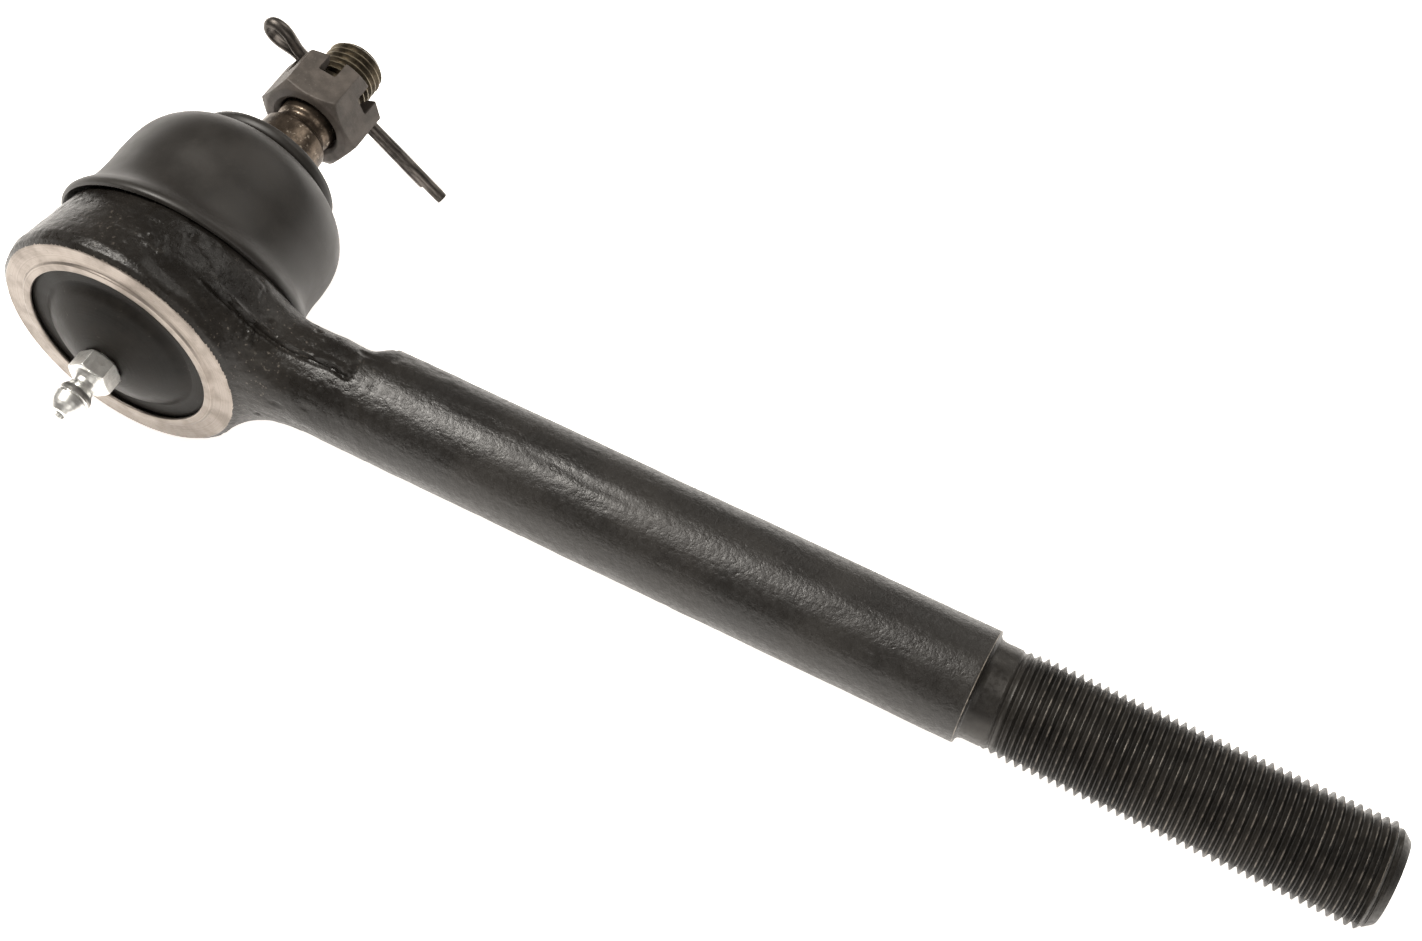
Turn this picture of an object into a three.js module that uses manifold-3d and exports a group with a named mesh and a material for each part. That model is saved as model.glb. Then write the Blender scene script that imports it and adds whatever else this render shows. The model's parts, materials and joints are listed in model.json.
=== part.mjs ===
// Tie rod end: a forged eye with an offset neck, a long round shank and an external 11/16-18 thread,
// a tapered ball stud in a spring-loaded seat, a dust boot, a castle nut with its cotter pin,
// and a dished cover plate with a grease fitting. Units are millimetres.
// Frame: the part lies on its side with +X along the shank to its threaded end, +Y along the stud
// to its tip and +Z up. The origin is the middle of the base that it lies on. Every piece is drawn
// about the centre of the ball, where the stud axis meets the shank axis, and the group sets it in place.
import * as THREE from 'three';
import { mergeVertices } from 'three/addons/utils/BufferGeometryUtils.js';
import Module from 'manifold-3d';

const wasm = await Module();
wasm.setup();

// ---- sizes ----
const BALL_CENTRE = [-97.5, -18.0, 23.0];
const EYE_RING_Y = -11.15;       // machined ring face of the eye
const SHANK_R = 9.46;
const SHANK_END = 150.5;         // shoulder where the full diameter stops
const RELIEF_R = 8.2;
const THREAD = { start: 154.3, end: 218.0, pitch: 1.4111, crest: 8.73, root: 7.95, segs: 14 };
const STUD_THREAD = { start: 54.7, end: 63.5, pitch: 1.27, crest: 5.55, root: 4.85, segs: 14 };
const BALL_R = 10.3;
const SEAT_IN = 10.6;            // inner radius of both bearing halves
const SEAT_OUT = 12.6;
const CAVITY_R = 12.9;
const NUT = { low: 45.6, high: 55.8, flats: 17.0, bore: 5.9, slotW: 3.45, slotLow: 51.9 };
const PIN = { y: 55.6, turn: -38, roll: 86, r: 1.27, slit: 0.08, hole: 1.7, longLeg: 27.5, shortLeg: 23.3 };
const NUT_TURN = -37;            // direction of one flat's normal about the stud axis, degrees
const BOOT_LEAN = { x: 0.04, z: -0.165, from: 29.9, to: 7.4 };  // how far the soft lip droops
const FITTING_HEX = 7.0;

// ---- colours: [colour, roughness, metalness] ----
const FORGED = [0x2b2825, 0.42, 0.55];
const RUBBER = [0x2f2d2b, 0.62, 0.0];
const STUD_STEEL = [0x6b5d4e, 0.38, 0.85];
const PHOSPHATE = [0x57504a, 0.6, 0.6];
const PIN_STEEL = [0x4a4440, 0.35, 0.85];
const COVER_STEEL = [0x34312e, 0.45, 0.6];
const ZINC = [0xb9b8b4, 0.25, 0.95];
const POLYMER = [0xc9c2a8, 0.5, 0.0];
const SINTERED = [0x4d4a47, 0.55, 0.6];
const SPRING_STEEL = [0x6f7175, 0.35, 0.9];
const BEARING_STEEL = [0xa8aaad, 0.15, 1.0];

// ---- geometry helpers ----
// One closed shell: shared vertices merged, empty triangles dropped and every face turned outwards.
function welded(source) {
  const bare = source.index ? source.clone() : source;
  bare.deleteAttribute('normal');
  bare.deleteAttribute('uv');
  const merged = mergeVertices(bare, 1e-5);
  const at = merged.getAttribute('position');
  const index = merged.index.array;
  const [p, q, r] = [new THREE.Vector3(), new THREE.Vector3(), new THREE.Vector3()];
  const kept = [];
  let volume = 0;
  for (let i = 0; i < index.length; i += 3) {
    const [a, b, c] = [index[i], index[i + 1], index[i + 2]];
    if (a === b || b === c || a === c) continue;
    kept.push([a, b, c]);
    p.fromBufferAttribute(at, a);
    q.fromBufferAttribute(at, b);
    r.fromBufferAttribute(at, c);
    volume += p.dot(q.cross(r));
  }
  merged.setIndex(kept.map(([a, b, c]) => (volume < 0 ? [a, c, b] : [a, b, c])).flat());
  merged.computeVertexNormals();
  return merged;
}

function indexed(vertices, triangles) {
  const geometry = new THREE.BufferGeometry();
  geometry.setAttribute('position', new THREE.Float32BufferAttribute(vertices.flat(), 3));
  geometry.setIndex(triangles.flat());
  return welded(geometry);
}

function toManifold(geometry) {
  const mesh = new wasm.Mesh({
    numProp: 3,
    vertProperties: new Float32Array(geometry.getAttribute('position').array),
    triVerts: new Uint32Array(geometry.index.array),
  });
  return new wasm.Manifold(mesh);
}

function fromManifold(solid) {
  const mesh = solid.getMesh();
  const geometry = new THREE.BufferGeometry();
  geometry.setAttribute('position', new THREE.BufferAttribute(Float32Array.from(mesh.vertProperties), 3));
  geometry.setIndex(new THREE.BufferAttribute(Uint32Array.from(mesh.triVerts), 1));
  geometry.computeVertexNormals();
  return geometry;
}

// A profile of [radius, y] points turned about the Y axis. It closes on itself unless it runs from
// axis to axis.
function turned(profile, segs) {
  const points = profile.map(([r, y]) => new THREE.Vector2(r, y));
  const fromAxis = profile[0][0] === 0 && profile[profile.length - 1][0] === 0;
  if (!fromAxis) points.push(points[0].clone());
  return welded(new THREE.LatheGeometry(points, segs));
}

function alongX(geometry) {
  return geometry.rotateZ(-Math.PI / 2);
}

// Points of a circular arc in a [radius, y] profile, centred on the origin.
function arc(radius, fromDeg, toDeg, steps) {
  const points = [];
  for (let i = 0; i <= steps; i += 1) {
    const a = THREE.MathUtils.degToRad(fromDeg + ((toDeg - fromDeg) * i) / steps);
    points.push([radius * Math.cos(a), radius * Math.sin(a)]);
  }
  return points;
}

// Closed sections of equal length joined into one solid with flat-fan ends.
function lofted(sections) {
  const n = sections[0].length;
  const vertices = sections.flat();
  const triangles = [];
  for (let i = 0; i + 1 < sections.length; i += 1) {
    for (let j = 0; j < n; j += 1) {
      const k = (j + 1) % n;
      const [a0, a1, b0, b1] = [i * n + j, i * n + k, (i + 1) * n + j, (i + 1) * n + k];
      triangles.push([a0, b0, b1], [a0, b1, a1]);
    }
  }
  const ends = [[0, 1], [sections.length - 1, -1]];
  for (const [row, side] of ends) {
    const mid = vertices.length;
    const sum = sections[row].reduce((s, p) => [s[0] + p[0], s[1] + p[1], s[2] + p[2]], [0, 0, 0]);
    vertices.push(sum.map((v) => v / n));
    for (let j = 0; j < n; j += 1) {
      const [a, b] = [row * n + j, row * n + ((j + 1) % n)];
      triangles.push(side > 0 ? [mid, a, b] : [mid, b, a]);
    }
  }
  return indexed(vertices, triangles);
}

// A right-hand V thread along +X: one crest and one root line winding round the axis.
function threadRod({ start, end, pitch, crest, root, segs }) {
  const turns = Math.ceil((end - start) / pitch) + 3;
  const rows = 2 * turns + 1;
  const first = start - 2 * pitch;
  const vertices = [];
  const id = (j, i) => j * rows + i;
  for (let j = 0; j < segs; j += 1) {
    const angle = (2 * Math.PI * j) / segs;
    for (let i = 0; i < rows; i += 1) {
      const r = i % 2 === 0 ? crest : root;
      const x = first + pitch * (i / 2 + j / segs);
      vertices.push([x, r * Math.cos(angle), r * Math.sin(angle)]);
    }
  }
  const triangles = [];
  const quad = (a0, a1, b0, b1) => triangles.push([a0, b0, b1], [a0, b1, a1]);
  for (let i = 0; i + 1 < rows; i += 1) {
    for (let j = 0; j + 1 < segs; j += 1) quad(id(j, i), id(j, i + 1), id(j + 1, i), id(j + 1, i + 1));
    if (i + 3 < rows) quad(id(segs - 1, i), id(segs - 1, i + 1), id(0, i + 2), id(0, i + 3));
  }
  const startLoop = [...Array(segs).keys()].map((j) => id(j, 0)).concat([id(0, 2), id(0, 1)]);
  const endLoop = [...Array(segs).keys()].map((j) => id(j, rows - 1));
  endLoop.push(id(segs - 1, rows - 2), id(segs - 1, rows - 3));
  const caps = [[startLoop, first - pitch, 1], [endLoop, first + pitch * (turns + 2), -1]];
  for (const [loop, x, side] of caps) {
    const mid = vertices.length;
    vertices.push([x, 0, 0]);
    loop.forEach((a, j) => {
      const b = loop[(j + 1) % loop.length];
      triangles.push(side > 0 ? [mid, b, a] : [mid, a, b]);
    });
  }
  return indexed(vertices, triangles);
}

function hexPrism(flats, low, high, turnDeg) {
  const prism = new THREE.CylinderGeometry(flats / Math.sqrt(3), flats / Math.sqrt(3), high - low, 6);
  prism.rotateY(THREE.MathUtils.degToRad(turnDeg)).translate(0, (low + high) / 2, 0);
  return toManifold(welded(prism));
}

function slotCutter(turnDeg) {
  const box = new THREE.BoxGeometry(26, 8, NUT.slotW);
  box.rotateY(THREE.MathUtils.degToRad(-turnDeg)).translate(0, NUT.slotLow + 4, 0);
  return toManifold(welded(box));
}

// ---- housing ----
function neckSections() {
  // x, top y, bottom y, half width, squareness
  const stations = [
    [8.5, 7.25, -10.7, 19.15, 2.6],
    [14.2, 7.15, -10.7, 16.9, 2.6],
    [18, 7.05, -10.75, 14.5, 2.6],
    [20.9, 6.85, -10.75, 12.4, 2.6],
    [23.7, 6.7, -10.7, 10.8, 2.5],
    [27.5, 6.5, -10.25, 9.7, 2.2],
    [32.2, 6.5, -9.8, 9.35, 2.05],
    [37, 6.6, -9.5, 9.25, 2.0],
    [39.3, 7.45, -9.4, 9.3, 2.0],
    [41.2, 8.85, -9.4, 9.4, 2.0],
    [43.6, 9.4, -9.4, 9.4, 2.0],
  ];
  const around = 28;
  return stations.map(([x, top, bottom, half, power]) => {
    const mid = (top + bottom) / 2;
    const tall = (top - bottom) / 2;
    const ring = [];
    for (let j = 0; j < around; j += 1) {
      const a = (2 * Math.PI * j) / around;
      const [c, s] = [Math.cos(a), Math.sin(a)];
      const ridge = j % (around / 2) === 0 && x > 19 && x < 40 ? 0.5 : 0;
      const z = Math.sign(c) * (half * Math.abs(c) ** (2 / power) + ridge);
      const y = mid + Math.sign(s) * tall * Math.abs(s) ** (2 / power);
      ring.push([x, y, z]);
    }
    return ring;
  });
}

function makeHousing() {
  const eye = turned([
    [0, 11.35], [14.05, 11.35], [16.4, 10.65], [18.6, 9.05], [20.3, 6.45], [21.35, 3.25], [21.95, -1.6],
    [22.7, -6.5], [23.0, -8.8], [22.7, -10.25], [21.8, EYE_RING_Y], [18.4, EYE_RING_Y], [17.9, -11.75],
    [16.75, -11.75],
    [0, -11.75],
  ], 40);
  const cavity = turned([
    [0, -13], [16.75, -13], [16.75, EYE_RING_Y], [17.5, EYE_RING_Y], [17.5, -8.9], [CAVITY_R, -8.9],
    ...arc(CAVITY_R, 0, 43.9, 5), [10.4, 11.35], [10.9, 12.6], [0, 12.6],
  ], 30);
  const shank = alongX(turned([
    [0, 39.8], [8.8, 39.8], [SHANK_R - 0.1, 42.3], [SHANK_R, 44.6], [SHANK_R, SHANK_END - 0.3],
    [SHANK_R - 0.3, SHANK_END], [RELIEF_R + 0.5, SHANK_END + 0.3], [RELIEF_R, SHANK_END + 1.1],
    [RELIEF_R, 155.3],
    [7.0, 155.7], [7.0, 215.6], [0, 215.6],
  ], 28));
  const envelope = alongX(turned([
    [0, 154.6], [RELIEF_R - 0.1, 154.6], [9.0, 155.6], [9.0, 214.9], [8.5, 215.8], [6.9, THREAD.end],
    [0, THREAD.end],
  ], 28));
  const thread = toManifold(threadRod(THREAD)).intersect(toManifold(envelope));
  const outside = toManifold(eye).add(toManifold(lofted(neckSections()))).add(toManifold(shank)).add(thread);
  return fromManifold(outside.subtract(toManifold(cavity)));
}

// ---- ball stud and its bearing ----
function makeBallStud() {
  const body = toManifold(turned([
    [0, -9.9], ...arc(BALL_R, -74, 59.7, 12), [5.2, 15.3], [7.35, 17.1], [7.6, 18.3], [6.3, 41.7],
    [5.85, 42.2], [4.7, 42.7], [4.7, 44.1], [5.4, 44.8], [5.4, 55.3], [4.0, 55.6], [4.0, 62.4], [0, 62.4],
  ], 28));
  const envelope = toManifold(turned([
    [0, 54.9], [5.75, 54.9], [5.75, 62.3], [4.6, STUD_THREAD.end], [0, STUD_THREAD.end],
  ], 28));
  const rod = threadRod(STUD_THREAD).rotateZ(Math.PI / 2);
  const thread = toManifold(rod).intersect(envelope);
  const hole = new THREE.CylinderGeometry(PIN.hole, PIN.hole, 20, 16).rotateZ(Math.PI / 2);
  hole.rotateY(THREE.MathUtils.degToRad(-PIN.turn)).translate(0, PIN.y, 0);
  return fromManifold(body.add(thread).subtract(toManifold(welded(hole))));
}

function makeUpperBearing() {
  const inner = arc(SEAT_IN, 2, 36.7, 5);
  const outer = arc(SEAT_OUT, 44.4, 1.6, 5);
  return turned([...inner, ...outer], 24);
}

function makeLowerSeat() {
  const inner = arc(SEAT_IN, -70.1, -3, 7);
  return turned([[3.6, -11.25], ...inner, [SEAT_OUT, -0.55], [SEAT_OUT, -8.7], [11.6, -10.1],
    [9.5, -11.25]], 24);
}

function makePreloadSpring() {
  return turned([[4.6, -12.95], [8.9, -11.55], [8.9, -11.95], [4.6, -13.35]], 24);
}

function makeCoverPlate() {
  return turned([
    [3.2, -15.55], [4.65, -15.35], [7.0, -14.6], [9.75, -13.5], [12.25, -12.2], [13.15, -11.45],
    [13.85, -10.85],
    [17.15, -10.85], [17.15, -9.4], [13.55, -9.4], [12.2, -10.7], [9.55, -12.0], [6.8, -13.2], [4.55, -13.9],
    [3.2, -14.05],
  ], 30);
}

// ---- grease fitting ----
function makeGreaseFitting() {
  const body = toManifold(turned([
    [0, -12.2], [2.55, -12.2], [2.85, -12.6], [2.85, -16.2], [3.1, -16.2], [3.1, -19.6], [2.8, -19.9],
    [2.25, -20.55],
    [2.1, -21.25], [2.35, -21.9], [2.9, -22.85], [3.2, -23.9], [3.15, -24.7], [2.85, -25.65], [2.3, -26.7],
    [1.65, -27.5], [0, -27.5],
  ], 18));
  const chamfer = toManifold(turned([
    [0, -15.9], [3.65, -15.9], [4.2, -16.4], [4.2, -19.1], [3.65, -19.6], [0, -19.6],
  ], 18));
  const hex = hexPrism(FITTING_HEX, -19.6, -15.9, 20).intersect(chamfer);
  const passage = toManifold(turned([
    [0, -11.5], [0.8, -11.5], [0.8, -21.0], [1.3, -21.2], [1.3, -26.4], [0.75, -26.75], [0.75, -27.4],
    [0.95, -28.0],
    [0, -28.0],
  ], 12));
  return fromManifold(body.add(hex).subtract(passage));
}

function makeFittingBall() {
  return turned(arc(0.95, -90, 90, 8).map(([r, y]) => [Math.abs(r) < 1e-6 ? 0 : r, y - 25.5]), 14);
}

// A round-wire coil about the Y axis.
function coil(radius, wire, low, high, turns, perTurn, sides) {
  const sections = [];
  const steps = turns * perTurn;
  for (let i = 0; i <= steps; i += 1) {
    const a = (2 * Math.PI * i) / perTurn;
    const y = low + ((high - low) * i) / steps;
    const ring = [];
    for (let j = 0; j < sides; j += 1) {
      const b = (2 * Math.PI * j) / sides;
      const r = radius + wire * Math.cos(b);
      ring.push([r * Math.cos(a), y + wire * Math.sin(b), r * Math.sin(a)]);
    }
    sections.push(ring);
  }
  return lofted(sections);
}

// ---- boot ----
function makeDustBoot() {
  const geometry = turned([
    [21.9, 6.9], [22.65, 7.0], [22.95, 7.95], [22.45, 9.1], [21.6, 10.4], [21.05, 12.1], [20.8, 15.0],
    [20.85, 19],
    [20.6, 22.4], [19.8, 25.0], [18.3, 27.15], [16.1, 28.75], [13.3, 29.55], [10.4, 29.8], [7.3, 29.85],
    [7.3, 28.35], [10.3, 28.15], [13.0, 27.8], [15.3, 26.9], [17.15, 25.4], [18.5, 23.3], [19.1, 20.6],
    [19.2, 15.9],
    [19.4, 12.6], [20.15, 10.6], [21.3, 8.8],
  ], 32);
  const at = geometry.getAttribute('position');
  for (let i = 0; i < at.count; i += 1) {
    const t = THREE.MathUtils.clamp((BOOT_LEAN.from - at.getY(i)) / (BOOT_LEAN.from - BOOT_LEAN.to), 0, 1);
    const share = t * t * (3 - 2 * t);
    at.setY(i, at.getY(i) + share * (BOOT_LEAN.x * at.getX(i) + BOOT_LEAN.z * at.getZ(i)));
  }
  geometry.computeVertexNormals();
  return geometry;
}

function makeSealRing() {
  return turned([
    [7.4, 30.3], [12.6, 30.3], [13.65, 30.85], [14.0, 31.8], [13.7, 32.8], [12.4, 33.5], [8.65, 34.5],
    [7.25, 34.5],
  ], 28);
}

// ---- nut and cotter pin ----
function makeCastleNut() {
  const chamfer = toManifold(turned([
    [0, NUT.low], [8.1, NUT.low], [10.0, 46.8], [10.0, 54.6], [8.25, NUT.high], [0, NUT.high],
  ], 36));
  const bore = toManifold(turned([
    [0, 44.3], [7.3, 44.3], [6.6, NUT.low], [NUT.bore, 46.3], [NUT.bore, 55.1], [6.5, NUT.high], [7.3, 56.9],
    [0, 56.9],
  ], 24));
  let nut = hexPrism(NUT.flats, NUT.low, NUT.high, -NUT_TURN).intersect(chamfer).subtract(bore);
  for (const a of [0, 60, 120]) {
    nut = nut.subtract(slotCutter(NUT_TURN + a));
  }
  return fromManifold(nut);
}

// Half-round wire doubled back on itself: a long leg, a teardrop eye and a short leg.
function makeCotterPin() {
  const half = [
    [PIN.longLeg, PIN.slit], [8, PIN.slit], [-8.8, PIN.slit], [-10.0, 0.24], [-11.4, 0.74], [-12.8, 1.22],
    [-14.1, 1.38], [-15.2, 1.12], [-15.9, 0.6],
  ];
  const back = [...half].reverse().map(([s, t]) => [s === PIN.longLeg ? PIN.shortLeg : s, -t]);
  const path = [...half, [-16.15, 0], ...back];
  const sections = path.map(([s, t], i) => {
    const [s0, t0] = path[Math.max(i - 1, 0)];
    const [s1, t1] = path[Math.min(i + 1, path.length - 1)];
    const size = Math.hypot(s1 - s0, t1 - t0);
    const out = [(t1 - t0) / size, -(s1 - s0) / size];
    const ring = [];
    for (let j = 0; j <= 6; j += 1) {
      const a = (Math.PI * j) / 6;
      const [up, side] = [PIN.r * Math.sin(a), PIN.r * Math.cos(a)];
      ring.push([s + out[0] * up, t + out[1] * up, side]);
    }
    return ring;
  });
  const wire = lofted(sections).rotateX(THREE.MathUtils.degToRad(PIN.roll));
  return wire.rotateY(THREE.MathUtils.degToRad(-PIN.turn)).translate(0, PIN.y, 0);
}

// ---- scene graph ----
const tieRodEnd = new THREE.Group();
tieRodEnd.name = 'tie_rod_end';
tieRodEnd.position.set(...BALL_CENTRE);

function addPart(name, geometry, [color, roughness, metalness]) {
  const mesh = new THREE.Mesh(geometry, new THREE.MeshStandardMaterial({ color, roughness, metalness }));
  mesh.name = name;
  tieRodEnd.add(mesh);
}

addPart('housing', makeHousing(), FORGED);
addPart('ball_stud', makeBallStud(), STUD_STEEL);
addPart('upper_bearing', makeUpperBearing(), POLYMER);
addPart('lower_seat', makeLowerSeat(), SINTERED);
addPart('preload_spring', makePreloadSpring(), SPRING_STEEL);
addPart('cover_plate', makeCoverPlate(), COVER_STEEL);
addPart('grease_fitting', makeGreaseFitting(), ZINC);
addPart('fitting_ball', makeFittingBall(), BEARING_STEEL);
addPart('fitting_spring', coil(0.9, 0.14, -24.15, -21.5, 4, 10, 5), SPRING_STEEL);
addPart('dust_boot', makeDustBoot(), RUBBER);
addPart('boot_seal_ring', makeSealRing(), RUBBER);
addPart('castle_nut', makeCastleNut(), PHOSPHATE);
addPart('cotter_pin', makeCotterPin(), PIN_STEEL);

export default tieRodEnd;
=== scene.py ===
import json
import math

import bmesh
import bpy
import numpy as np
from mathutils import Matrix, Vector


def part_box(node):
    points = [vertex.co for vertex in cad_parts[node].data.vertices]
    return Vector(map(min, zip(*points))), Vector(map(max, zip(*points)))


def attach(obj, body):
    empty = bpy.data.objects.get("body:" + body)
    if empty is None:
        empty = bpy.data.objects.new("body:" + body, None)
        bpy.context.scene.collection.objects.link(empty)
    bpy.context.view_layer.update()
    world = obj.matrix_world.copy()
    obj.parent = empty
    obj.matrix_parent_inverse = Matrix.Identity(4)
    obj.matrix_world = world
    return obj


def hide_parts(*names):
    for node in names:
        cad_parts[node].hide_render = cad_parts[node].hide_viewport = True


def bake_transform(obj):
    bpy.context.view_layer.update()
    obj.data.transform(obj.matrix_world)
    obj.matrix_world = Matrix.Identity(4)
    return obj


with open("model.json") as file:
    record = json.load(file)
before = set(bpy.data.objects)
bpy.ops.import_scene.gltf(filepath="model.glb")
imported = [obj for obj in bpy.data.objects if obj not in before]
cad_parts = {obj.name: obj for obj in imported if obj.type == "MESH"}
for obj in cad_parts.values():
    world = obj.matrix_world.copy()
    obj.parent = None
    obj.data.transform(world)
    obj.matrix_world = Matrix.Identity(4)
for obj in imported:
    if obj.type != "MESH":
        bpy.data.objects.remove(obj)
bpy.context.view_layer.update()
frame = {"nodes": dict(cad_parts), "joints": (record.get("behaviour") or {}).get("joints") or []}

# The visual model of a greaseable tie rod end. Every piece is drawn in millimetres about the centre of the
# ball: +X along the shank, +Y along the stud and +Z up. add_piece() sets it into the frame, in metres.
MM = 0.001
SWIVEL = next(j for j in frame["joints"] if j["name"] == "stud_swivel")
BALL = Vector(SWIVEL["pos_m"])
FLOOR_Z = min(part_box(n)[0].z for n in frame["nodes"])

# ---- sizes, mm ----
SHANK_R = 9.46
SHANK_END = 150.5
RELIEF_R = 8.2
ROD_THREAD = {"start": 154.3, "end": 218.0, "pitch": 1.4111, "crest": 8.73, "root": 7.86}
STUD_THREAD = {"start": 54.8, "end": 63.5, "pitch": 1.27, "crest": 5.55, "root": 4.79}
NUT = {  # the slots reach down to slot_low; corner and mouth are the chamfers' radii at its faces
    "low": 45.6, "high": 55.8, "flats": 17.0, "bore": 5.85, "slot": 3.45, "slot_low": 51.9, "turn": -37.0,
    "low_corner": 8.15, "high_corner": 8.3, "low_mouth": 6.6, "high_mouth": 6.7,
}
PIN = {  # turn is about the stud, roll about the pin; long and short are its legs
    "y": 55.6, "turn": -38.0, "roll": 86.0, "r": 1.27, "slit": 0.07, "hole": 1.7, "long": 27.5, "short": 23.3,
}
BALL_R = 10.3
BEARING_IN = 10.6
BEARING_OUT = 12.6
VALVE = {"r": 0.85, "y": -25.75}
FITTING_HEX = {"half": 3.5, "high": -15.9, "low": -19.6, "corner": 3.7}
THREAD_STEEL_Y = 52.5  # the stud is oiled thread above this height
BOOT_LEAN = {"x": 0.04, "z": -0.165, "from": 29.9, "to": 7.4}
BOOT_SPLIT_Y = 20.4
SKIRT_BEND = (8.8, BOOT_SPLIT_Y - 1.2)  # heights for each half of the boot, carried into make_boot but not used there
CROWN_BEND = (BOOT_SPLIT_Y + 0.4, 28.1)
RING_SEAM_Y = -11.03  # where the forged skin meets the turned faces
MOUTH_SEAM_Y = 9.9
SHANK_SEAM_X = 147.7
SHANK_SEGS = 96  # sides of the turned shank and its thread
RING_SEGS = 160  # sides of the turned faces of the eye
STUD_SEGS = 72
BOOT_SEGS = 144
INNER_SEGS = 96  # sides of the seal ring, the bearings and the disc spring
COVER_SEGS = 128
FLATTENED = 6.2  # height of the flattened neck above the shank axis
FLAT_END = (38.8, 42.8)  # x over which the flattened top rises to the round shank
NECK_TO_SHANK = (23, 35)  # x over which the neck's section gives way to the shank's
EYE_REACH = 30  # radius past which the eye's outline is no longer worked out

# ---- camera: where it stands from the centre of the ball in metres, its right and up, and its lens ----
CAMERA_AT = Vector((0.1685, -0.1826, 0.3063))
CAMERA_RIGHT = Vector((0.8898, 0.4491, 0.0808))
CAMERA_UP = Vector((-0.4130, 0.7173, 0.5612))
LENS_MM = 57.8


# ---- noise and curves ----
def noise(points, size, seed):
    """Smooth seeded noise from -1 to 1 whose features are about that size."""
    q = np.asarray(points, float) / size + seed * 17.31
    base = np.floor(q).astype(np.int64)
    f = q - base
    f = f * f * (3 - 2 * f)
    total = np.zeros(len(q))
    for corner in range(8):
        d = np.array([corner & 1, corner >> 1 & 1, corner >> 2 & 1])
        c = base + d
        h = c[:, 0] * 374761393 + c[:, 1] * 668265263 + c[:, 2] * 1440662683
        h = (h ^ (h >> 13)) * 1274126177
        h = h ^ (h >> 16)
        value = (h & 0xFFFF) / 32767.5 - 1
        total += value * np.prod(np.where(d, f, 1 - f), axis=1)
    return total


def step(low, high, v):
    """A smooth rise from 0 at low to 1 at high."""
    t = np.clip((v - low) / (high - low), 0, 1)
    return t * t * (3 - 2 * t)


def spline(points, per):
    """Points of a smooth curve through the given ones."""
    p = np.asarray(points, float)
    ends = np.vstack([2 * p[0] - p[1], p, 2 * p[-1] - p[-2]])
    out = []
    for i in range(len(p) - 1):
        a, b, c, d = ends[i : i + 4]
        for t in np.arange(per) / per:
            out.append(0.5 * (2 * b + (c - a) * t + (2 * a - 5 * b + 4 * c - d) * t**2
                              + (3 * b - a - 3 * c + d) * t**3))
    out.append(p[-1])
    return np.array(out)


def rounded(points, radius, steps=3):
    """An open outline with its inner corners rounded, by at most a third of each side."""
    p = np.asarray(points, float)
    out = [p[0]]
    for a, b, c in zip(p, p[1:], p[2:]):
        u, v = a - b, c - b
        lu, lv = np.linalg.norm(u), np.linalg.norm(v)
        cut = min(radius, lu / 3, lv / 3)
        start, end = b + u / lu * cut, b + v / lv * cut
        for t in np.linspace(0, 1, steps + 1):
            out.append((1 - t) ** 2 * start + 2 * t * (1 - t) * b + t**2 * end)
    out.append(p[-1])
    return np.array(out)


def dense(points, longest):
    """The same outline with no side longer than that."""
    out = [np.asarray(points[0], float)]
    for a, b in zip(points, points[1:]):
        a, b = np.asarray(a, float), np.asarray(b, float)
        n = max(1, math.ceil(np.linalg.norm(b - a) / longest))
        out += [a + (b - a) * (k + 1) / n for k in range(n)]
    return np.array(out)


def arc(radius, low, high, count):
    """[radius, height] points on a circle about the ball, between two angles in degrees."""
    return [(radius * math.cos(a), radius * math.sin(a)) for a in np.radians(np.linspace(low, high, count))]


# ---- mesh building ----
def lathe(profile, segs, axis="y"):
    """(vertices, faces) of [radius, height] points turned about an axis through the ball."""
    p = np.asarray(profile, float)
    a = 2 * np.pi * np.arange(segs) / segs
    r, h = p[:, :1], np.broadcast_to(p[:, 1:], (len(p), segs))
    u, v = r * np.cos(a), r * np.sin(a)
    grid = np.stack([u, h, v] if axis == "y" else [h, u, v], axis=-1)
    return grid.reshape(-1, 3), strip_faces(len(p), segs)


def strip_faces(rows, segs, closed_rows=False):
    """Quads between rows of segs points, each row closed on itself."""
    faces = []
    for i in range(rows if closed_rows else rows - 1):
        k = (i + 1) % rows
        for j in range(segs):
            m = (j + 1) % segs
            faces.append((i * segs + j, i * segs + m, k * segs + m, k * segs + j))
    return faces


def closed_lathe(profile, segs):
    """(vertices, faces) of a profile that closes on itself, turned about the stud axis."""
    v, _ = lathe(profile, segs)
    return v, strip_faces(len(profile), segs, closed_rows=True)


def joined(*parts):
    """Several (vertices, faces) as one."""
    vertices, faces, base = [], [], 0
    for v, f in parts:
        vertices.append(np.asarray(v, float))
        faces += [tuple(base + i for i in face) for face in f]
        base += len(v)
    return np.vstack(vertices), faces


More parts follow.
